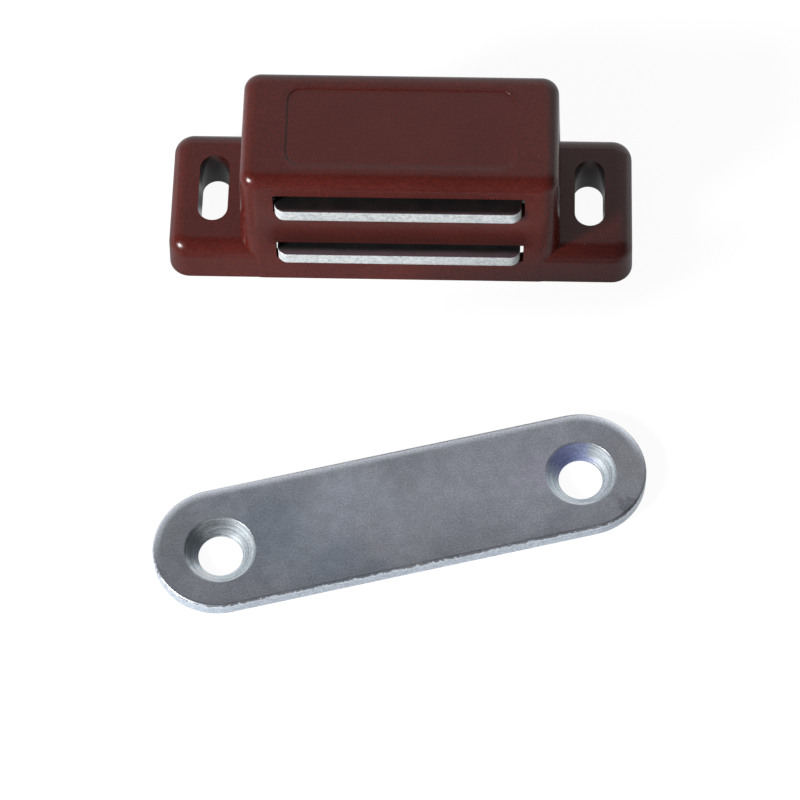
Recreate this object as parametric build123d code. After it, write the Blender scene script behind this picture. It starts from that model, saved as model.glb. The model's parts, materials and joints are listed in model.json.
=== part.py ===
from build123d import *
from math import radians, tan
import os

# Magnetic cupboard catch: a moulded housing that holds a loose magnet pack, and its strike plate.
# Millimetres. The housing stands on its mounting face at z = 0, the poles look along -Y, and the
# origin is the middle of that face. The strike plate lies flat in front of the housing.

# ---- Driving dimensions ------------------------------------------------------------------------

# Housing, outside
BOX_LENGTH = 34.65           # raised box, at the mounting face
HOUSING_DEPTH = 15.7         # front to back, at the mounting face
EAR_REACH = 7.7              # from the box's end to the ear's end
EAR_HEIGHT = 5.2
EAR_SETBACK = 0.05           # of the ears' front and back from the box's
EAR_CORNER_RADIUS = 2.3      # at the mounting face
EAR_EDGE_RADIUS = 1.7
BOX_CORNER_RADIUS = 2.5      # at the mounting face
BOX_EDGE_RADIUS = 1.4
DRAFT = 2.3                  # degrees that every upright face leans in
PANEL_LENGTH = 24.0          # sunk panel in the top
PANEL_WIDTH = 9.7
PANEL_DEPTH = 0.1
PANEL_CORNER_RADIUS = 1.6

# Housing, sections
WALL = 1.2
ROOF = 1.4
BOTTOM_BAR = 3.8             # from the mounting face to the lower window
TOP_BAR = 2.3                # from the upper window to the top of the box
WINDOW_CORNER_RADIUS = 0.25
POCKET_CORNER_RADIUS = 0.5

# Screw slots through the ears
SLOT_WIDTH = 3.2
SLOT_LENGTH = 8.25
SLOT_FROM_BOX = 2.95         # from the box's end to the slot's middle
SLOT_SETBACK = 0.25          # of the slot's middle behind the housing's

# Ribs and lugs in the magnet bay
GUIDE_RIB_HEIGHT = 1.6
GUIDE_RIB_WIDTH = 1.0
GUIDE_RIB_SPACING = 6.0
RIB_START = 1.0              # ribs begin this far above the mounting face
ROOF_RIB_WIDTH = 1.0
LUG_WIDTH = 5.0
LUG_HEIGHT = 2.2
LUG_LIP = 0.5                # upright face at the lug's tip
LUG_HOLD = 0.5               # how far a lug reaches under the pack
LUG_SPACING = 16.0

# Magnet pack
POLE_THICKNESS = 1.6
MAGNET_THICKNESS = 6.9
MAGNET_INSET = 0.6           # magnet's faces behind the pole plates' edges
MAGNET_CHAMFER = 0.4
NOSE_REACH = 0.4             # pole noses in front of the housing's foot
NOSE_CORNER_RADIUS = 1.1
SHOULDER_WIDTH = 1.0         # each side, stops the pack at the front wall
SHOULDER_CORNER_RADIUS = 0.5
PACK_FLOAT = 1.2             # how far the pack can rise in its windows
PACK_SLIP = 0.1              # how far it lies to the left of their middle

# Clearances round the pack
SEAT_GAP = 0.05              # under the pack where it rests
RISE_GAP = 0.25              # left over the plates when the pack is right up
SIDE_GAP = 0.325             # pack to guide ribs, each side when it is centred
DEPTH_GAP = 0.3              # pack to the front and rear walls
NOSE_GAP = 0.25              # nose to the window's end, each side when it is centred

# Strike plate
STRIKE_LENGTH = 52.2
STRIKE_WIDTH = 13.6
STRIKE_THICKNESS = 1.6
STRIKE_EDGE_RADIUS = 0.3
STRIKE_HOLE_SPACING = 38.4
STRIKE_HOLE_OFFSET = 0.3     # of the holes from the plate's middle line, to the front
STRIKE_HOLE_DIAMETER = 4.6
COUNTERSINK_DIAMETER = 7.5
COUNTERSINK_ANGLE = 90.0
STRIKE_DISTANCE = 28.65      # from the housing's front to the middle of the plate
STRIKE_SHIFT = 0.8           # along X
STRIKE_TURN = 14.5           # degrees about Z

# ---- Worked out from them ----------------------------------------------------------------------

lean = tan(radians(DRAFT))

housing_length = BOX_LENGTH + 2 * EAR_REACH
ear_depth = HOUSING_DEPTH - 2 * EAR_SETBACK
slot_x = BOX_LENGTH / 2 + SLOT_FROM_BOX

window_height = SEAT_GAP + POLE_THICKNESS + PACK_FLOAT + RISE_GAP
pole_pitch = MAGNET_THICKNESS + POLE_THICKNESS
lower_window_base = BOTTOM_BAR
upper_window_base = lower_window_base + pole_pitch
upper_window_top = upper_window_base + window_height
box_height = upper_window_top + TOP_BAR

bay_length = BOX_LENGTH - 2 * WALL
bay_depth = HOUSING_DEPTH - 2 * WALL
bay_height = box_height - ROOF
bay_corner_radius = BOX_CORNER_RADIUS - WALL

pack_base = lower_window_base + SEAT_GAP
magnet_base = pack_base + POLE_THICKNESS
pack_top_when_raised = magnet_base + pole_pitch + PACK_FLOAT
pack_length = bay_length - 2 * (GUIDE_RIB_HEIGHT + SIDE_GAP)
pack_depth = bay_depth - 2 * (pack_top_when_raised * lean + DEPTH_GAP)
window_length = pack_length - 2 * SHOULDER_WIDTH
nose_length = window_length - 2 * NOSE_GAP
nose_tip = -(HOUSING_DEPTH / 2 + NOSE_REACH)


# ---- Housing -----------------------------------------------------------------------------------

def drafted_block(length, depth, height, corner_radius, top_radius=0):
    """Block on z = 0 whose sides lean in by the mould's draft, with rounded edges."""
    block = extrude(RectangleRounded(length, depth, corner_radius), height, taper=DRAFT)
    if top_radius > 0:
        block = fillet(block.faces().sort_by(Axis.Z)[-1].edges(), top_radius)
    return block


def outside():
    """The ears' low slab with the box rising out of its middle, their fronts and backs in line."""
    slab = drafted_block(housing_length, ear_depth, EAR_HEIGHT, EAR_CORNER_RADIUS, EAR_EDGE_RADIUS)
    box = drafted_block(BOX_LENGTH, HOUSING_DEPTH, box_height, BOX_CORNER_RADIUS, BOX_EDGE_RADIUS)
    return slab + box


def top_panel():
    """The shallow sunk panel in the top of the box."""
    outline = RectangleRounded(PANEL_LENGTH, PANEL_WIDTH, PANEL_CORNER_RADIUS)
    return Pos(0, 0, box_height - PANEL_DEPTH) * extrude(outline, ROOF)


def guide_ribs():
    """Upright ribs, two on each end wall, that centre the pack."""
    outer = BOX_LENGTH / 2
    inner = pack_length / 2 + SIDE_GAP
    height = box_height - RIB_START
    rib = Box(outer - inner, GUIDE_RIB_WIDTH, height, align=(Align.MIN, Align.CENTER, Align.MIN))
    places = GridLocations(0, GUIDE_RIB_SPACING, 1, 2)
    right = [Pos(inner, 0, RIB_START) * place * rib for place in places]
    left = [mirror(one, Plane.YZ) for one in right]
    return right + left


def roof_ribs():
    """Ribs under the roof, level with the upper window's top, that stop the pack rising further."""
    thickness = box_height - upper_window_top
    rib = Box(ROOF_RIB_WIDTH, HOUSING_DEPTH, thickness, align=(Align.CENTER, Align.CENTER, Align.MIN))
    return [Pos(0, 0, upper_window_top) * place * rib for place in GridLocations(LUG_SPACING, 0, 2, 1)]


def snap_lugs():
    """Hooks on the rear wall: the pack snaps past their slope and rests on their flat tops."""
    top = lower_window_base
    tip = pack_depth / 2 - LUG_HOLD
    root = HOUSING_DEPTH / 2
    outline = Polyline((root, top), (tip, top), (tip, top - LUG_LIP), (root, top - LUG_HEIGHT), close=True)
    hook = extrude(Plane.YZ * make_face(outline), LUG_WIDTH / 2, both=True)
    return [place * hook for place in GridLocations(LUG_SPACING, 0, 2, 1)]


def magnet_bay():
    """The hollow that holds the pack, open at the mounting face, less its ribs and lugs."""
    bay = drafted_block(bay_length, bay_depth, bay_height, bay_corner_radius)
    return bay - guide_ribs() - roof_ribs() - snap_lugs()


def windows():
    """The two long windows in the front wall that the pole noses stick out of."""
    outline = RectangleRounded(window_length, window_height, WINDOW_CORNER_RADIUS)
    cutter = extrude(Plane.XZ * outline, HOUSING_DEPTH)
    heights = [base + window_height / 2 for base in (lower_window_base, upper_window_base)]
    return [Pos(0, 0, height) * cutter for height in heights]


def screw_slots():
    """Slots from front to back through both ears, for shifting the catch before it is tightened."""
    outline = SlotOverall(SLOT_LENGTH, SLOT_WIDTH, rotation=90)
    cutter = extrude(outline, EAR_HEIGHT + WALL)
    return [Pos(side * slot_x, SLOT_SETBACK, 0) * cutter for side in (-1, 1)]


def ear_pockets():
    """Shallow hollows under the ears, before and behind each slot, that keep the walls even."""
    length = EAR_REACH - WALL
    middle = BOX_LENGTH / 2 + length / 2
    wall_line = ear_depth / 2 - WALL
    pockets = []
    for side in (-1, 1):
        for end in (-1, 1):
            slot_line = SLOT_LENGTH / 2 + WALL + end * SLOT_SETBACK
            width = wall_line - slot_line
            outline = RectangleRounded(length, width, min(POCKET_CORNER_RADIUS, width / 3))
            place = Pos(side * middle, end * (wall_line + slot_line) / 2, 0)
            pockets.append(place * extrude(outline, EAR_HEIGHT - ROOF, taper=DRAFT))
    return pockets


def housing():
    """One moulding: box, ears, panel, bay, windows, slots and coring."""
    return outside() - top_panel() - magnet_bay() - windows() - screw_slots() - ear_pockets()


# ---- Magnet pack -------------------------------------------------------------------------------

def pole_plate(base):
    """Stamped steel plate: a nose that passes the window, and shoulders that can't."""
    rear = pack_depth / 2
    nose_depth = rear - nose_tip
    nose = RectangleRounded(nose_length, nose_depth, NOSE_CORNER_RADIUS)
    body = RectangleRounded(pack_length, pack_depth, SHOULDER_CORNER_RADIUS)
    outline = body + Pos(0, rear - nose_depth / 2) * nose
    return Pos(-PACK_SLIP, 0, base) * extrude(outline, POLE_THICKNESS)


def magnet():
    """Ferrite block that holds a plate on each face by its own pull."""
    length = pack_length - 2 * MAGNET_INSET
    depth = pack_depth - 2 * MAGNET_INSET
    block = Box(length, depth, MAGNET_THICKNESS, align=(Align.CENTER, Align.CENTER, Align.MIN))
    block = chamfer(block.edges().filter_by(Axis.Z), MAGNET_CHAMFER)
    return Pos(-PACK_SLIP, 0, magnet_base) * block


# ---- Strike plate ------------------------------------------------------------------------------

def strike_plate():
    """Round-ended steel plate with two countersunk screw holes, lying with its screw side up."""
    plate = extrude(SlotOverall(STRIKE_LENGTH, STRIKE_WIDTH), STRIKE_THICKNESS)
    rim = plate.faces().sort_by(Axis.Z)[-1].edges()
    plate = fillet(rim, STRIKE_EDGE_RADIUS)
    hole = CounterSinkHole(
        radius=STRIKE_HOLE_DIAMETER / 2,
        counter_sink_radius=COUNTERSINK_DIAMETER / 2,
        depth=STRIKE_THICKNESS,
        counter_sink_angle=COUNTERSINK_ANGLE,
        mode=Mode.PRIVATE,
    )
    places = GridLocations(STRIKE_HOLE_SPACING, 0, 2, 1)
    plate = plate - [Pos(0, -STRIKE_HOLE_OFFSET, STRIKE_THICKNESS) * place * hole for place in places]
    middle = Pos(STRIKE_SHIFT, -(HOUSING_DEPTH / 2 + STRIKE_DISTANCE), 0)
    return middle * Rot(0, 0, STRIKE_TURN) * plate


# ---- Files -------------------------------------------------------------------------------------

pieces = {
    "housing": housing(),
    "lower_pole_plate": pole_plate(pack_base),
    "magnet": magnet(),
    "upper_pole_plate": pole_plate(magnet_base + MAGNET_THICKNESS),
    "strike_plate": strike_plate(),
}

os.makedirs("parts", exist_ok=True)
for name, piece in pieces.items():
    export_step(piece, f"parts/{name}.step")
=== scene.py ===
import bpy
import json
from math import cos, pi, radians, sin
from mathutils import Matrix, Vector


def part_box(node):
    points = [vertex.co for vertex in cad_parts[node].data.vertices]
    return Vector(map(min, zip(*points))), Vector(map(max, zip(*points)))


# Dresses the magnetic cupboard catch: dark red-brown housing, zinc-plated poles and strike plate.
# Metres throughout. Materials work in millimetres, from each piece's own place in the frame.

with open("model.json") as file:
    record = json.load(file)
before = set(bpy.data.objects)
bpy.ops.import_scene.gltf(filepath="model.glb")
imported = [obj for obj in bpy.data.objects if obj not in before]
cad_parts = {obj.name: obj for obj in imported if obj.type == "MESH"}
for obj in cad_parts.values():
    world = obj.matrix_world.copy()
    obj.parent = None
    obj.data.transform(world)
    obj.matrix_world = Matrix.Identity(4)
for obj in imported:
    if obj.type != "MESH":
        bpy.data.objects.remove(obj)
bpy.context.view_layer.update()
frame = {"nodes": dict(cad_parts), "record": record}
record = frame["record"]
nodes = frame["nodes"]

MM = 0.001

# ---- Where things are --------------------------------------------------------------------------

mounts = {mount["name"]: mount for mount in record["mounts"]}
STRIKE_MIDDLE = [1000 * value for value in mounts["strike_plate_holes"]["pos_m"]]
STRIKE_HOLE_SPACING = mounts["strike_plate_holes"]["dims"]["pcd_mm"]
STRIKE_TURN = 14.5                     # degrees, as the plate lies
strike_low, strike_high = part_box("strike_plate")
STRIKE_TOP = strike_high[2] / MM
spread = [(strike_high[axis] - strike_low[axis]) / MM for axis in (0, 1)]
plate_turn = radians(STRIKE_TURN)
STRIKE_HALF_STRAIGHT = (spread[0] - spread[1]) / (cos(plate_turn) - sin(plate_turn)) / 2
STRIKE_HALF_WIDTH = spread[0] / 2 - STRIKE_HALF_STRAIGHT * cos(plate_turn)
STRIKE_HOLES_FORWARD = 0.3              # how far behind the holes the plate's middle line lies
ROLLED_WIDTH = 1.0                      # of the strip along the plate's rim that is rolled over
SINK_RADIUS = 3.75                      # of the countersinks at the plate's upper face
HOUSING_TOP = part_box("housing")[1][2] / MM
SLOT_OFF_MIDDLE = 20.275                # of each ear's slot, along the housing
pole_low, pole_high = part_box("lower_pole_plate")
LOWER_WINDOW_TOP = pole_high[2] / MM + 1.25
WINDOW_HALF = pole_high[0] / MM
POLE_FRONT = pole_low[1] / MM

# ---- Camera ------------------------------------------------------------------------------------

CAMERA_PLACE = (8.93, -202.87, 323.37)        # mm
CAMERA_PITCH = 60.852                         # degrees below the horizon
CAMERA_YAW = 2.725
CAMERA_ROLL = 1.44
LENS = 157.32                                 # mm, as is the sensor
SENSOR = 36.0


def make_camera():
    """A long lens that looks down on the front of the catch."""
    pitch, yaw, roll = (radians(a) for a in (CAMERA_PITCH, CAMERA_YAW, CAMERA_ROLL))
    forward = Vector((0, cos(pitch), -sin(pitch)))
    right = Vector((1, 0, 0))
    down = forward.cross(right)
    turn = Matrix.Rotation(yaw, 3, "Z")
    forward, right, down = turn @ forward, turn @ right, turn @ down
    right, down = cos(roll) * right + sin(roll) * down, cos(roll) * down - sin(roll) * right
    data = bpy.data.cameras.new("camera")
    data.lens = LENS
    data.sensor_width = SENSOR
    data.clip_start = 0.01
    camera = bpy.data.objects.new("camera", data)
    bpy.context.collection.objects.link(camera)
    axes = Matrix((right, -down, -forward)).transposed().to_4x4()
    camera.matrix_world = Matrix.Translation(MM * Vector(CAMERA_PLACE)) @ axes
    bpy.context.scene.camera = camera


# ---- Node helpers ------------------------------------------------------------------------------

def fill(tree, node, inputs):
    """Sets or links a node's inputs by name or number."""
    for key, value in inputs.items():
        if isinstance(value, bpy.types.NodeSocket):
            tree.links.new(value, node.inputs[key])
        else:
            node.inputs[key].default_value = value


def add(tree, kind, inputs=None, **settings):
    """Adds a node with its properties and inputs."""
    made = tree.nodes.new(kind)
    for name, value in settings.items():
        setattr(made, name, value)
    fill(tree, made, inputs or {})
    return made


def sum_of(tree, operation, *values):
    """A Math node on numbers or sockets; gives its output."""
    return add(tree, "ShaderNodeMath", dict(enumerate(values)), operation=operation).outputs[0]


def eased(tree, value, low, high, start=0.0, end=1.0):
    """value from low to high becomes start to end, smoothly, and stays inside them."""
    made = add(tree, "ShaderNodeMapRange", {
        "Value": value, "From Min": low, "From Max": high, "To Min": start, "To Max": end,
    }, interpolation_type="SMOOTHSTEP")
    return made.outputs["Result"]


def blend_colour(tree, amount, first, second):
    """A colour Mix node; gives its output."""
    made = add(tree, "ShaderNodeMix", data_type="RGBA")
    fill(tree, made, {0: amount, 6: first, 7: second})
    return made.outputs[2]


def pick(tree, amount, first, second):
    """A Mix node on numbers; gives its output."""
    return add(tree, "ShaderNodeMix", {0: amount, 2: first, 3: second}).outputs[0]


def grey(value):
    """A colour without a hue."""
    return (value, value, value, 1.0)


def new_group(name, inputs, outputs):
    """An empty shader node group with named sockets; gives the group and its two end nodes."""
    group = bpy.data.node_groups.new(name, "ShaderNodeTree")
    for direction, sockets in (("INPUT", inputs), ("OUTPUT", outputs)):
        for socket_name, kind, *default in sockets:
            socket = group.interface.new_socket(
                name=socket_name, in_out=direction, socket_type="NodeSocket" + kind)
            if default:
                socket.default_value = default[0]
    return group, group.nodes.new("NodeGroupInput"), group.nodes.new("NodeGroupOutput")


def use(tree, group, inputs):
    """Places a node group in a material."""
    made = add(tree, "ShaderNodeGroup", node_tree=group)
    fill(tree, made, inputs)
    return made.outputs


# ---- Shared effects ----------------------------------------------------------------------------

def clouding_group():
    """Broad soft patches, as of uneven plating or moulding."""
    group, given, result = new_group(
        "clouding",
        [("Place", "Vector"), ("Patch size", "Float", 5.0), ("Sharpness", "Float", 0.5),
         ("Seed", "Float", 0.0)],
        [("Mask", "Float")])
    noise = add(group, "ShaderNodeTexNoise", {
        "Vector": given.outputs["Place"],
        "W": given.outputs["Seed"],
        "Scale": sum_of(group, "DIVIDE", 1.0, given.outputs["Patch size"]),
        "Detail": 4.0,
        "Roughness": 0.55,
    }, noise_dimensions="4D")
    half = sum_of(group, "MULTIPLY_ADD", given.outputs["Sharpness"], -0.24, 0.25)
    low = sum_of(group, "SUBTRACT", 0.5, half)
    high = sum_of(group, "ADD", 0.5, half)
    mask = eased(group, noise.outputs[0], low, high)
    group.links.new(mask, result.inputs["Mask"])
    return group


def specks_group():
    """Small round spots scattered over a surface: dust, pits, grains."""
    group, given, result = new_group(
        "specks",
        [("Place", "Vector"), ("Spacing", "Float", 1.0), ("Spot size", "Float", 0.2),
         ("Share", "Float", 0.3)],
        [("Mask", "Float")])
    cells = add(group, "ShaderNodeTexVoronoi", {
        "Vector": given.outputs["Place"],
        "Scale": sum_of(group, "DIVIDE", 1.0, given.outputs["Spacing"]),
        "Randomness": 1.0,
    })
    reach = sum_of(group, "DIVIDE", given.outputs["Spot size"], given.outputs["Spacing"])
    core = sum_of(group, "MULTIPLY", reach, 0.5)
    spot = eased(group, cells.outputs["Distance"], core, reach, 1.0, 0.0)
    draw = add(group, "ShaderNodeSeparateColor", {"Color": cells.outputs["Color"]})
    chosen = sum_of(group, "LESS_THAN", draw.outputs[0], given.outputs["Share"])
    group.links.new(sum_of(group, "MULTIPLY", spot, chosen), result.inputs["Mask"])
    return group


def scratches_group():
    """Fine straight scratches that run one way."""
    group, given, result = new_group(
        "scratches",
        [("Place", "Vector"), ("Heading", "Float", 0.0), ("Length", "Float", 6.0),
         ("Width", "Float", 0.08), ("Share", "Float", 0.1)],
        [("Mask", "Float")])
    turned = add(group, "ShaderNodeVectorRotate", {
        "Vector": given.outputs["Place"], "Angle": given.outputs["Heading"],
    }, rotation_type="Z_AXIS")
    parts = add(group, "ShaderNodeSeparateXYZ", {"Vector": turned.outputs[0]})
    along = sum_of(group, "DIVIDE", parts.outputs[0], given.outputs["Length"])
    across = sum_of(group, "DIVIDE", parts.outputs[1], given.outputs["Width"])
    stretched = add(group, "ShaderNodeCombineXYZ", {"X": along, "Y": across})
    noise = add(group, "ShaderNodeTexNoise", {
        "Vector": stretched.outputs[0], "Scale": 1.0, "Detail": 2.0, "Roughness": 0.5,
    }, noise_dimensions="2D")
    edge = sum_of(group, "MULTIPLY_ADD", given.outputs["Share"], -0.5, 0.8)
    top = sum_of(group, "ADD", edge, 0.08)
    group.links.new(eased(group, noise.outputs[0], edge, top), result.inputs["Mask"])
    return group


def grain_group():
    """Fine unevenness of a surface, as a height from 0 to 1."""
    group, given, result = new_group(
        "grain",
        [("Place", "Vector"), ("Grain size", "Float", 0.3), ("Stretch", "Float", 1.0)],
        [("Height", "Float")])
    shaped = add(group, "ShaderNodeVectorMath", {
        0: given.outputs["Place"],
        1: add(group, "ShaderNodeCombineXYZ", {
            "X": 1.0, "Y": 1.0, "Z": given.outputs["Stretch"]}).outputs[0],
    }, operation="MULTIPLY")
    noise = add(group, "ShaderNodeTexNoise", {
        "Vector": shaped.outputs[0],
        "Scale": sum_of(group, "DIVIDE", 1.0, given.outputs["Grain size"]),
        "Detail": 3.0,
        "Roughness": 0.6,
    })
    group.links.new(noise.outputs[0], result.inputs["Height"])
    return group


def patch_group():
    """One soft, ragged-edged patch round a centre, as of a stain or a worn place."""
    group, given, result = new_group(
        "patch",
        [("Place", "Vector"), ("Centre", "Vector"), ("Reach", "Float", 5.0), ("Raggedness", "Float", 0.5)],
        [("Mask", "Float")])
    noise = add(group, "ShaderNodeTexNoise", {
        "Vector": given.outputs["Place"],
        "Scale": sum_of(group, "DIVIDE", 2.5, given.outputs["Reach"]),
        "Detail": 4.0,
    })
    gap = add(group, "ShaderNodeVectorMath", {
        0: given.outputs["Place"], 1: given.outputs["Centre"]}, operation="SUBTRACT")
    flat = add(group, "ShaderNodeVectorMath", {0: gap.outputs[0], 1: (1.0, 1.0, 0.0)}, operation="MULTIPLY")
    length = add(group, "ShaderNodeVectorMath", {0: flat.outputs[0]}, operation="LENGTH")
    share = sum_of(group, "DIVIDE", length.outputs["Value"], given.outputs["Reach"])
    uneven = sum_of(group, "SUBTRACT", noise.outputs[0], 0.5)
    share = sum_of(group, "MULTIPLY_ADD", uneven, sum_of(group, "MULTIPLY", given.outputs["Raggedness"], 2.0),
                   share)
    group.links.new(eased(group, share, 0.25, 1.0, 1.0, 0.0), result.inputs["Mask"])
    return group


CLOUDING = clouding_group()
SPECKS = specks_group()
SCRATCHES = scratches_group()
GRAIN = grain_group()
PATCH = patch_group()


# ---- Materials ---------------------------------------------------------------------------------

def new_material(name, **constants):
    """A material with one Principled shader; gives the material, its tree, shader and place in mm."""
    material = bpy.data.materials.new(name)
    material.use_nodes = True
    tree = material.node_tree
    shader = tree.nodes["Principled BSDF"]
    for socket, value in constants.items():
        shader.inputs[socket.replace("_", " ")].default_value = value
    coordinates = add(tree, "ShaderNodeTexCoord")
    place = add(tree, "ShaderNodeVectorMath", {0: coordinates.outputs["Object"], "Scale": 1 / MM},
                operation="SCALE").outputs[0]
    return material, tree, shader, place


def bumped(tree, shader, height, depth, rounding=None, flatness=0.0):
    """Feeds a height, of depth mm from 0 to 1, to the shader's normal, over corners rounded in metres.
    The more flatness, the fainter the rounding."""
    bump = add(tree, "ShaderNodeBump", {"Height": height, "Distance": depth * MM})
    if rounding is not None:
        soft = add(tree, "ShaderNodeBevel", {"Radius": rounding}, samples=12)
        flat = add(tree, "ShaderNodeVectorMath", {
            0: add(tree, "ShaderNodeNewGeometry").outputs["Normal"], "Scale": flatness}, operation="SCALE")
        both = add(tree, "ShaderNodeVectorMath", {0: soft.outputs[0], 1: flat.outputs[0]}, operation="ADD")
        unit = add(tree, "ShaderNodeVectorMath", {0: both.outputs[0]}, operation="NORMALIZE")
        tree.links.new(unit.outputs[0], bump.inputs["Normal"])
    tree.links.new(bump.outputs[0], shader.inputs["Normal"])


def toned(tree, colour, tone):
    """A colour made lighter or darker by a factor."""
    return add(tree, "ShaderNodeVectorMath", {0: colour, "Scale": tone}, operation="SCALE").outputs[0]


def on_strike_plate(tree, place):
    """A place in mm, counted from between the plate's holes, with X along the plate."""
    laid = add(tree, "ShaderNodeVectorMath", {0: place, 1: STRIKE_MIDDLE}, operation="SUBTRACT")
    return add(tree, "ShaderNodeVectorRotate", {
        "Vector": laid.outputs[0], "Angle": -radians(STRIKE_TURN)}, rotation_type="Z_AXIS").outputs[0]


def facing_sideways(tree, fully, barely):
    """1 on the upright edges of a flat plate, 0 on its faces; the two limits are upright shares."""
    geometry = add(tree, "ShaderNodeNewGeometry")
    facing = add(tree, "ShaderNodeSeparateXYZ", {"Vector": geometry.outputs["True Normal"]})
    return eased(tree, sum_of(tree, "ABSOLUTE", facing.outputs[2]), fully, barely, 1.0, 0.0)


def housing_plastic():
    """Dark red-brown plastic from a polished mould, with faint flow clouds and dust. The slots and the lower
    edge of the bar between the windows have their shade in the colour."""
    material, tree, shader, place = new_material("housing_plastic", IOR=1.5)
    clouds = use(tree, CLOUDING, {"Place": place, "Patch size": 7.0, "Sharpness": 0.2, "Seed": 3.0})[0]
    colour = blend_colour(tree, clouds, PLASTIC_DEEP, PLASTIC_LIGHT)
    dust = use(tree, SPECKS, {"Place": place, "Spacing": 1.3, "Spot size": 0.09, "Share": 0.22})[0]
    colour = blend_colour(tree, sum_of(tree, "MULTIPLY", dust, 0.35), colour, PLASTIC_DUST)
    fine = use(tree, GRAIN, {"Place": place, "Grain size": 0.22})[0]
    colour = toned(tree, colour, eased(tree, fine, 0.3, 0.7, 0.74, 1.26))
    x, y, height = add(tree, "ShaderNodeSeparateXYZ", {"Vector": place}).outputs
    # Painted shade: the walls of the ears' slots are darker in the colour
    off_slot = sum_of(tree, "SUBTRACT", sum_of(tree, "ABSOLUTE", x), SLOT_OFF_MIDDLE)
    in_slot = sum_of(tree, "MULTIPLY", sum_of(tree, "COMPARE", off_slot, 0.0, 1.8),
                     sum_of(tree, "COMPARE", y, 0.25, 4.4))
    in_slot = sum_of(tree, "MULTIPLY", in_slot, facing_sideways(tree, 0.3, 0.6))
    colour = toned(tree, colour, pick(tree, in_slot, 1.0, 0.35))
    # The bar between the two windows is glossier, and darker towards its lower edge. It is flat: the colour
    # stands for the shade of an edge that curves inwards
    over_window = eased(tree, sum_of(tree, "ABSOLUTE", x), WINDOW_HALF - 1.5, WINDOW_HALF + 0.5, 1.0, 0.0)
    at_front = sum_of(tree, "LESS_THAN", y, POLE_FRONT + 1.2)
    low_on_bar = eased(tree, height, LOWER_WINDOW_TOP + 0.3, LOWER_WINDOW_TOP + 3.3, 1.0, 0.0)
    above_window = sum_of(tree, "GREATER_THAN", height, LOWER_WINDOW_TOP - 0.2)
    on_bar = sum_of(tree, "MULTIPLY", sum_of(tree, "MULTIPLY", over_window, at_front), above_window)
    under_upper = eased(tree, height, LOWER_WINDOW_TOP + 4.7, LOWER_WINDOW_TOP + 5.7, 1.0, 0.0)
    on_bar = sum_of(tree, "MULTIPLY", on_bar, under_upper)
    colour = toned(tree, colour, pick(tree, sum_of(tree, "MULTIPLY", on_bar, low_on_bar), 1.0, 0.55))
    tree.links.new(colour, shader.inputs["Base Color"])
    grain = use(tree, GRAIN, {"Place": place, "Grain size": 0.9})[0]
    rough = eased(tree, grain, 0.3, 0.7, 0.22, 0.29)
    rough = sum_of(tree, "MULTIPLY", rough, pick(tree, on_bar, 1.0, 0.45))
    tree.links.new(rough, shader.inputs["Roughness"])
    rounding = eased(tree, height, HOUSING_TOP - 0.45, HOUSING_TOP - 0.3, 0.0, 0.9 * MM)
    bumped(tree, shader, grain, 0.006, rounding, 1.2)
    return material


PLASTIC_DEEP = (0.082, 0.0098, 0.0066, 1.0)
PLASTIC_LIGHT = (0.096, 0.0118, 0.0076, 1.0)
PLASTIC_DUST = (0.30, 0.20, 0.18, 1.0)


def pole_steel():
    """Stamped steel: dull oily plated faces with a painted reflection of the housing at their front edge, and
    bright sheared edges full of fine facets.
    """
    material, tree, shader, place = new_material("pole_steel")
    edge = facing_sideways(tree, 0.3, 0.6)
    facets = use(tree, CLOUDING, {"Place": place, "Patch size": 0.3, "Sharpness": 0.35, "Seed": 5.0})[0]
    bright = blend_colour(tree, facets, (0.60, 0.65, 0.67, 1.0), (0.93, 0.97, 0.97, 1.0))
    pits = use(tree, SPECKS, {"Place": place, "Spacing": 0.45, "Spot size": 0.11, "Share": 0.3})[0]
    bright = blend_colour(tree, sum_of(tree, "MULTIPLY", pits, 0.6), bright, grey(0.35))
    smears = use(tree, CLOUDING, {"Place": place, "Patch size": 1.6, "Sharpness": 0.3, "Seed": 6.0})[0]
    dull = blend_colour(tree, smears, (0.27, 0.28, 0.29, 1.0), (0.40, 0.41, 0.41, 1.0))
    lint = use(tree, SPECKS, {"Place": place, "Spacing": 0.7, "Spot size": 0.07, "Share": 0.25})[0]
    dull = blend_colour(tree, lint, dull, grey(0.9))
    _, across, height = add(tree, "ShaderNodeSeparateXYZ", {"Vector": place}).outputs
    # Painted reflection: the faces turn purple-brown and less metallic near their front edge, less so on the
    # upper plate
    painted_reflection = sum_of(tree, "ADD", across, sum_of(tree, "MULTIPLY", smears, 0.15))
    painted_reflection = sum_of(tree, "ADD", painted_reflection, eased(tree, height, HOUSING_TOP / 2, HOUSING_TOP / 2 + 1.0, 0.0, 0.5))
    painted_reflection = eased(tree, painted_reflection, POLE_FRONT + 0.3, POLE_FRONT + 1.1, 1.0, 0.0)
    dull = blend_colour(tree, painted_reflection, dull, (0.58, 0.40, 0.46, 1.0))
    tree.links.new(blend_colour(tree, edge, dull, bright), shader.inputs["Base Color"])
    metal = sum_of(tree, "MULTIPLY_ADD", painted_reflection, -0.16, 0.97)
    tree.links.new(pick(tree, edge, metal, 0.22), shader.inputs["Metallic"])
    shear = use(tree, GRAIN, {"Place": place, "Grain size": 0.16, "Stretch": 0.35})[0]
    on_edge = eased(tree, shear, 0.25, 0.75, 0.30, 0.50)
    tree.links.new(pick(tree, edge, 0.24, on_edge), shader.inputs["Roughness"])
    bumped(tree, shader, sum_of(tree, "MULTIPLY", shear, edge), 0.03, 0.16 * MM)
    return material


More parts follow.
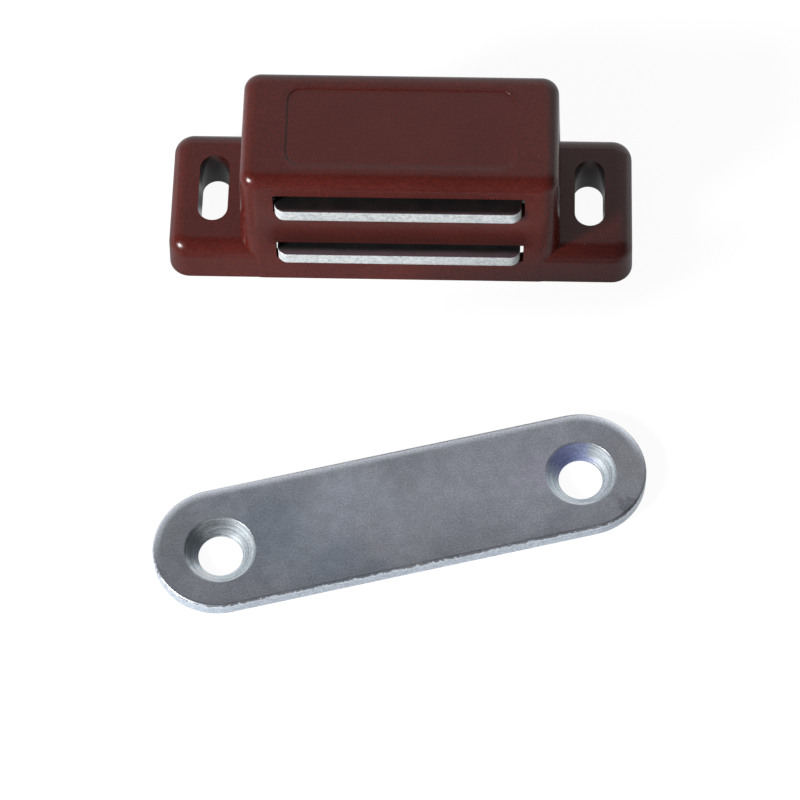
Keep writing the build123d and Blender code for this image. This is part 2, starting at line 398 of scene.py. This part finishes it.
def ferrite():
    """Sintered magnet: matt dark grey with fine pits."""
    material, tree, shader, place = new_material("ferrite", Metallic=0.2)
    clouds = use(tree, CLOUDING, {"Place": place, "Patch size": 2.0, "Sharpness": 0.3, "Seed": 8.0})[0]
    colour = blend_colour(tree, clouds, grey(0.035), grey(0.06))
    pits = use(tree, SPECKS, {"Place": place, "Spacing": 0.5, "Spot size": 0.13, "Share": 0.4})[0]
    colour = blend_colour(tree, pits, colour, grey(0.02))
    tree.links.new(colour, shader.inputs["Base Color"])
    grain = use(tree, GRAIN, {"Place": place, "Grain size": 0.2})[0]
    tree.links.new(eased(tree, grain, 0.3, 0.7, 0.6, 0.85), shader.inputs["Roughness"])
    bumped(tree, shader, sum_of(tree, "SUBTRACT", grain, pits), 0.03)
    return material


def plated_steel():
    """Cloudy zinc plating on sheet steel, with turned countersinks, sheared sides and scratches; painted
    shade towards the front and in the countersinks, and a painted highlight along the back rim.
    """
    material, tree, shader, place = new_material("plated_steel")
    plate = on_strike_plate(tree, place)
    parts = add(tree, "ShaderNodeSeparateXYZ", {"Vector": plate})
    x, y, z = parts.outputs

    # Clouds of the plating, bluer, browner and lighter in places
    mottle = use(tree, CLOUDING, {"Place": plate, "Patch size": 1.1, "Sharpness": 0.2, "Seed": 2.0})[0]
    clouds = use(tree, CLOUDING, {"Place": plate, "Patch size": 6.0, "Sharpness": 0.2, "Seed": 1.0})[0]
    colour = blend_colour(tree, clouds, (0.43, 0.445, 0.50, 1.0), (0.49, 0.50, 0.55, 1.0))
    for (centre, reach, ragged, amount, tint) in PLATING_PATCHES:
        mask = use(tree, PATCH, {"Place": plate, "Centre": centre, "Reach": reach, "Raggedness": ragged})[0]
        colour = blend_colour(tree, sum_of(tree, "MULTIPLY", mask, amount), colour, tint)
    colour = toned(tree, colour, eased(tree, mottle, 0.0, 1.0, 0.95, 1.06))
    # Painted shade: the plate's colour darkens towards its front edge
    colour = toned(tree, colour, eased(tree, y, -7.0, -1.0, 0.84, 1.0))
    dust = use(tree, SPECKS, {"Place": plate, "Spacing": 0.9, "Spot size": 0.09, "Share": 0.4})[0]
    colour = blend_colour(tree, sum_of(tree, "MULTIPLY", dust, 0.5), colour, grey(0.8))
    marks = use(tree, SCRATCHES, {"Place": plate, "Heading": radians(35.0), "Length": 5.0,
                                  "Width": 0.12, "Share": 0.12})[0]
    colour = blend_colour(tree, sum_of(tree, "MULTIPLY", marks, 0.4), colour, grey(0.72))

    # Turned rings in each countersink. Their tone, from side to side and front to back, is painted shade
    from_hole = sum_of(tree, "SUBTRACT", sum_of(tree, "ABSOLUTE", x), STRIKE_HOLE_SPACING / 2)
    radius = sum_of(tree, "SQRT", sum_of(tree, "ADD", sum_of(tree, "MULTIPLY", from_hole, from_hole),
                                         sum_of(tree, "MULTIPLY", y, y)))
    ring_place = add(tree, "ShaderNodeCombineXYZ", {
        "X": sum_of(tree, "MULTIPLY", radius, 7.0), "Y": sum_of(tree, "MULTIPLY", x, 0.3)}).outputs[0]
    rings = add(tree, "ShaderNodeTexNoise", {"Vector": ring_place, "Scale": 1.0, "Detail": 3.0},
                noise_dimensions="2D").outputs[0]
    in_sink = eased(tree, radius, SINK_RADIUS - 0.14, SINK_RADIUS - 0.02, 1.0, 0.0)
    turned = blend_colour(tree, eased(tree, rings, 0.35, 0.65), (0.38, 0.42, 0.45, 1.0),
                          (0.66, 0.72, 0.76, 1.0))
    turned = toned(tree, turned, eased(tree, y, -2.6, 2.8, 1.45, 0.68))
    to_the_right = sum_of(tree, "MULTIPLY", from_hole, sum_of(tree, "SIGN", x))
    turned = toned(tree, turned, eased(tree, to_the_right, -3.0, 3.0, 1.25, 0.70))
    blued = use(tree, PATCH, {"Place": plate, "Centre": SINK_STAIN, "Reach": 3.3, "Raggedness": 0.4})[0]
    turned = blend_colour(tree, sum_of(tree, "MULTIPLY", blued, 0.8), turned, (0.27, 0.31, 0.60, 1.0))
    # Painted shade: a dark patch in the left countersink
    painted_sink_shade = use(tree, PATCH, {"Place": plate, "Centre": SINK_PAINTED_SHADE, "Reach": 3.0, "Raggedness": 0.3})[0]
    turned = blend_colour(tree, sum_of(tree, "MULTIPLY", painted_sink_shade, 0.9), turned, (0.15, 0.17, 0.19, 1.0))
    colour = blend_colour(tree, in_sink, colour, turned)

    # The punch rolls the upper face over near its rim, most along the back. Along the back rim the colour is
    # lighter: a painted highlight
    beyond = sum_of(tree, "MAXIMUM", sum_of(tree, "SUBTRACT", sum_of(tree, "ABSOLUTE", x),
                                            STRIKE_HALF_STRAIGHT), 0.0)
    off_middle = sum_of(tree, "SUBTRACT", y, STRIKE_HOLES_FORWARD)
    reach = sum_of(tree, "SQRT", sum_of(tree, "ADD", sum_of(tree, "MULTIPLY", beyond, beyond),
                                        sum_of(tree, "MULTIPLY", off_middle, off_middle)))
    near_rim = sum_of(tree, "SUBTRACT", reach, STRIKE_HALF_WIDTH - ROLLED_WIDTH)
    near_rim = sum_of(tree, "MAXIMUM", near_rim, 0.0)
    painted_rim_highlight = sum_of(tree, "MULTIPLY", eased(tree, near_rim, 0.0, 0.75), eased(tree, y, -1.0, 4.0))
    colour = blend_colour(tree, painted_rim_highlight, colour, (0.84, 0.87, 0.94, 1.0))
    rolled = sum_of(tree, "POWER", near_rim, 1.5)
    rolled = sum_of(tree, "MULTIPLY", rolled, eased(tree, y, -3.0, 4.0, 0.5, 5.0))

    # Sides: a bright jagged burr along the upper rim, then the broken cut
    jag = use(tree, GRAIN, {"Place": plate, "Grain size": 0.45})[0]
    down = sum_of(tree, "SUBTRACT", STRIKE_TOP, z)
    below = sum_of(tree, "SUBTRACT", down, eased(tree, jag, 0.35, 0.65, 0.02, 0.30))
    outside = sum_of(tree, "SUBTRACT", 1.0, in_sink)
    rim = sum_of(tree, "MULTIPLY", facing_sideways(tree, 0.90, 0.985), outside)
    broken = sum_of(tree, "MULTIPLY", rim, eased(tree, below, 0.0, 0.05))
    burr = sum_of(tree, "MULTIPLY", broken, eased(tree, below, 0.10, 0.30, 1.0, 0.0))
    facets = use(tree, CLOUDING, {"Place": place, "Patch size": 0.35, "Sharpness": 0.2, "Seed": 7.0})[0]
    side = blend_colour(tree, facets, (0.38, 0.435, 0.51, 1.0), (0.56, 0.62, 0.69, 1.0))
    side = blend_colour(tree, sum_of(tree, "MULTIPLY", burr, 0.6), side, (0.80, 0.86, 0.93, 1.0))
    colour = blend_colour(tree, broken, colour, side)
    unpolished = sum_of(tree, "MAXIMUM", broken, sum_of(tree, "MULTIPLY", in_sink, 0.2))
    unpolished = sum_of(tree, "MAXIMUM", unpolished, sum_of(tree, "MULTIPLY", rim, 0.4))
    tree.links.new(pick(tree, unpolished, 1.0, 0.35), shader.inputs["Metallic"])

    grain = use(tree, GRAIN, {"Place": plate, "Grain size": 0.2})[0]
    colour = toned(tree, colour, eased(tree, grain, 0.3, 0.7, 0.84, 1.16))
    tree.links.new(colour, shader.inputs["Base Color"])
    rough = eased(tree, clouds, 0.0, 1.0, 0.34, 0.42)
    rough = pick(tree, in_sink, rough, 0.60)
    rough = sum_of(tree, "MULTIPLY_ADD", sum_of(tree, "SUBTRACT", grain, 0.5), 0.2, rough)
    tree.links.new(rough, shader.inputs["Roughness"])

    height = sum_of(tree, "MULTIPLY", sum_of(tree, "MULTIPLY", rings, in_sink), 7.0)
    height = sum_of(tree, "SUBTRACT", sum_of(tree, "ADD", height, grain), rolled)
    bumped(tree, shader, height, 0.012, 0.1 * MM)
    return material


# Centre from between the holes, reach, raggedness, strength, colour
PLATING_PATCHES = (
    ((-13.0, 0.5, 0.0), 8.0, 0.5, 0.8, (0.36, 0.415, 0.475, 1.0)),
    ((-5.0, 1.0, 0.0), 8.0, 0.5, 0.9, (0.55, 0.58, 0.655, 1.0)),
    ((9.0, 1.0, 0.0), 11.0, 0.4, 0.7, (0.53, 0.55, 0.61, 1.0)),
    ((-3.5, -2.0, 0.0), 4.0, 0.8, 0.5, (0.52, 0.50, 0.56, 1.0)),
    ((15.0, 1.0, 0.0), 4.0, 0.8, 0.6, (0.55, 0.53, 0.65, 1.0)),
    ((6.0, -5.0, 0.0), 6.0, 0.7, 0.5, (0.45, 0.45, 0.51, 1.0)),
    ((12.5, -4.0, 0.0), 3.5, 0.7, 0.6, (0.57, 0.57, 0.65, 1.0)),
    ((-25.0, 2.5, 0.0), 7.0, 0.6, 0.8, (0.33, 0.35, 0.375, 1.0)),
    ((-8.0, -5.0, 0.0), 6.0, 0.6, 0.8, (0.38, 0.42, 0.49, 1.0)),
    ((25.0, 1.0, 0.0), 6.5, 0.5, 0.8, (0.39, 0.395, 0.425, 1.0)),
    ((22.8, -4.8, 0.0), 1.7, 1.2, 0.6, (0.24, 0.24, 0.26, 1.0)),
)
SINK_STAIN = (18.3, 2.6, 0.0)
# Centre of the painted shade in the left countersink
SINK_PAINTED_SHADE = (-21.9, 1.3, 0.0)


def dress(node_name, material):
    """Gives a CAD node its material."""
    piece = nodes[node_name]
    piece.data.materials.clear()
    piece.data.materials.append(material)


# ---- Floor, backdrop and lamps -----------------------------------------------------------------

PAPER = 0.65                 # how pale the floor is
PAPER_TO_EYE = 0.15          # the part of it that keeps the shadows,
PAPER_GLOW = 0.94            # and the plain white that is laid over them
AMBIENT = 0.14
# Mirrors don't see the white that the eye sees. They see these levels
MIRROR_TINT = (0.98, 1.0, 1.03, 1.0)
MIRROR_DARK = 0.10
MIRROR_BACK = 0.33
MIRROR_EDGE = 0.9
MIRROR_FLOOR_FRONT = 0.12
MIRROR_FLOOR_FOOT = 0.22
MIRROR_FLOOR_BAR = 0.34
MIRROR_FLOOR_LEFT = 0.2
MIRROR_FLOOR_STRIKE = 0.85
MIRROR_FLOOR_BACK = 0.85
SIDE_LAMP = (-0.78, -0.50, 0.44)       # direction from the catch
FLAG_DISTANCE = 30                     # mm from the housing's front towards the side lamp


def mirrors_and_glass(tree, path):
    """1 for what a mirror or glass sees."""
    return sum_of(tree, "MAXIMUM", path.outputs["Is Glossy Ray"], path.outputs["Is Transmission Ray"])


def floor_in_mirrors(tree, where, x, y):
    """How bright mirrors see the floor, by place in metres. The lighter places show in the housing's foot,
    the bar between its windows, its left corner, ears and slots' walls, the strike plate and the backs."""
    foot = eased(tree, y, -0.0130, -0.0110, 0.0, MIRROR_FLOOR_FOOT)
    bar = sum_of(tree, "MULTIPLY", eased(tree, y, -0.0175, -0.0168),
                 eased(tree, y, -0.0155, -0.0142, 1.0, 0.0))
    foot = sum_of(tree, "ADD", foot, sum_of(tree, "MULTIPLY", bar, MIRROR_FLOOR_BAR))
    left = sum_of(tree, "MULTIPLY", eased(tree, x, -0.022, -0.019), eased(tree, x, -0.0165, -0.013, 1.0, 0.0))
    left = sum_of(tree, "MULTIPLY", left, eased(tree, y, -0.0130, -0.0115, MIRROR_FLOOR_LEFT, 0.0))
    beside = eased(tree, sum_of(tree, "ABSOLUTE", x), 0.0255, 0.030, 0.0, 0.2)
    through_slots = sum_of(tree, "ADD", eased(tree, y, -0.0065, -0.0050, 0.0, 0.45),
                           eased(tree, y, 0.0, 0.0014, 0.0, -0.60))
    through_slots = sum_of(tree, "ADD", through_slots, eased(tree, y, 0.0020, 0.0042, 0.0, 0.22))
    through_slots = sum_of(tree, "MULTIPLY", through_slots,
                           sum_of(tree, "COMPARE", sum_of(tree, "ABSOLUTE", x), 0.0205, 0.0035))
    through_slots = sum_of(tree, "MULTIPLY", through_slots, sum_of(tree, "LESS_THAN", y, 0.0065))
    place = add(tree, "ShaderNodeVectorMath", {0: where, "Scale": 1 / MM}, operation="SCALE").outputs[0]
    plate = add(tree, "ShaderNodeSeparateXYZ", {"Vector": on_strike_plate(tree, place)}).outputs
    off_line = sum_of(tree, "ABSOLUTE", plate[1])
    off_middle = sum_of(tree, "ABSOLUTE", plate[0])
    strike = sum_of(tree, "MULTIPLY", eased(tree, off_line, 8.0, 11.0, MIRROR_FLOOR_STRIKE, 0.0),
                    eased(tree, off_middle, 26.0, 29.0, 1.0, 0.0))
    behind = eased(tree, y, 0.008, 0.014, 0.0, MIRROR_FLOOR_BACK)
    in_mirrors = MIRROR_FLOOR_FRONT
    for share in (foot, left, beside, through_slots, strike):
        in_mirrors = sum_of(tree, "ADD", in_mirrors, share)
    return sum_of(tree, "MAXIMUM", in_mirrors, behind)


def make_floor():
    """A wide sheet under the catch. The eye sees it white, with the catch's soft shadow. Mirrors see it dark
    instead, with lighter places under and around the pieces."""
    mesh = bpy.data.meshes.new("floor")
    reach = 3.0
    drop = -0.02 * MM
    corners = [(-reach, -reach, drop), (reach, -reach, drop), (reach, reach, drop), (-reach, reach, drop)]
    mesh.from_pydata(corners, [], [(0, 1, 2, 3)])
    floor = bpy.data.objects.new("floor", mesh)
    bpy.context.collection.objects.link(floor)
    material = bpy.data.materials.new("floor_paper")
    material.use_nodes = True
    tree = material.node_tree
    tree.nodes.clear()
    path = add(tree, "ShaderNodeLightPath")
    eye = path.outputs["Is Camera Ray"]
    mirror = mirrors_and_glass(tree, path)
    where = add(tree, "ShaderNodeNewGeometry").outputs["Position"]
    spot = add(tree, "ShaderNodeSeparateXYZ", {"Vector": where})
    x, y, _ = spot.outputs
    in_mirrors = floor_in_mirrors(tree, where, x, y)
    tone = sum_of(tree, "MULTIPLY", pick(tree, eye, PAPER, PAPER_TO_EYE),
                  sum_of(tree, "SUBTRACT", 1.0, mirror))
    glow = sum_of(tree, "ADD", sum_of(tree, "MULTIPLY", eye, PAPER_GLOW),
                  sum_of(tree, "MULTIPLY", mirror, in_mirrors))
    shade = add(tree, "ShaderNodeCombineColor", {0: tone, 1: tone, 2: tone})
    paper = add(tree, "ShaderNodeBsdfDiffuse", {"Color": shade.outputs[0]})
    tint = blend_colour(tree, eye, MIRROR_TINT, grey(1.0))
    white = add(tree, "ShaderNodeEmission", {"Color": tint, "Strength": glow})
    both = add(tree, "ShaderNodeAddShader", {0: paper.outputs[0], 1: white.outputs[0]})
    add(tree, "ShaderNodeOutputMaterial", {"Surface": both.outputs[0]})
    mesh.materials.append(material)


def make_backdrop():
    """White all round for the eye. Mirrors see a dim room instead, lighter low down and at the back."""
    world = bpy.data.worlds.new("studio")
    world.use_nodes = True
    bpy.context.scene.world = world
    tree = world.node_tree
    tree.nodes.clear()
    coordinates = add(tree, "ShaderNodeTexCoord")
    heading = add(tree, "ShaderNodeSeparateXYZ", {"Vector": coordinates.outputs["Generated"]})
    toward_back = eased(tree, heading.outputs[1], 0.14, 0.46, MIRROR_DARK, MIRROR_BACK)
    lower_back = eased(tree, heading.outputs[1], 0.54, 0.61, 0.0, 0.6)
    toward_back = sum_of(tree, "ADD", toward_back, lower_back)
    rightward = eased(tree, heading.outputs[0], -0.08, 0.10, 0.9, 1.15)
    toward_back = sum_of(tree, "MULTIPLY", toward_back, rightward)
    room = eased(tree, heading.outputs[2], 0.0, 0.35, MIRROR_EDGE, 0.0)
    room = sum_of(tree, "MULTIPLY", room, eased(tree, heading.outputs[1], -0.3, 0.2, 0.15, 1.0))
    room = sum_of(tree, "MAXIMUM", room, toward_back)
    path = add(tree, "ShaderNodeLightPath")
    strength = pick(tree, mirrors_and_glass(tree, path), AMBIENT, room)
    strength = pick(tree, path.outputs["Is Camera Ray"], strength, 1.0)
    tint = blend_colour(tree, path.outputs["Is Camera Ray"], MIRROR_TINT, grey(1.0))
    background = add(tree, "ShaderNodeBackground", {"Color": tint, "Strength": strength})
    add(tree, "ShaderNodeOutputWorld", {"Surface": background.outputs[0]})


def make_lamp(name, direction, distance, size, level, in_mirrors=True, aim=(0, -0.015, 0.005)):
    """A square lamp that looks at the catch. At level 1 a facing surface shows its own colour."""
    data = bpy.data.lights.new(name, "AREA")
    data.shape = "SQUARE"
    data.size = size
    data.energy = level * pi ** 2 * distance ** 2
    lamp = bpy.data.objects.new(name, data)
    bpy.context.collection.objects.link(lamp)
    away = Vector(direction).normalized()
    lamp.location = Vector(aim) + distance * away
    lamp.rotation_euler = away.to_track_quat("Z", "Y").to_euler()
    lamp.visible_camera = False
    lamp.visible_glossy = in_mirrors
    return lamp


def make_flag(name, shade, direction, distance):
    """A small card, unseen, that keeps a lamp off part of the housing's front: shade in mm, as X and Z."""
    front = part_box("housing")[0][1]
    step = distance * MM * Vector(direction).normalized()
    mesh = bpy.data.meshes.new(name)
    corners = [Vector((MM * across, front, MM * up)) + step for across, up in shade]
    mesh.from_pydata(corners, [], [tuple(range(len(shade)))])
    flag = bpy.data.objects.new(name, mesh)
    bpy.context.collection.objects.link(flag)
    for sight in ("camera", "diffuse", "glossy", "transmission"):
        setattr(flag, "visible_" + sight, False)


make_camera()
plastic = housing_plastic()
dress("housing", plastic)
steel = pole_steel()
dress("lower_pole_plate", steel)
dress("upper_pole_plate", steel)
dress("magnet", ferrite())
dress("strike_plate", plated_steel())

make_floor()
make_backdrop()
make_lamp("side_lamp", SIDE_LAMP, 0.9, 0.20, 1.32)
make_lamp("soft_front", (-0.15, -1.0, 0.16), 1.2, 0.5, 0.17, in_mirrors=False)
make_flag("left_flag", [(-30, 4), (-24, 4), (-23.5, -4), (-30, -4)], SIDE_LAMP, FLAG_DISTANCE)
make_flag("side_flag", [(5, 0.5), (15, 4), (18.5, 8), (32, 9), (32, -4), (5, -4)], SIDE_LAMP, FLAG_DISTANCE)

bpy.context.scene.view_settings.view_transform = "Standard"
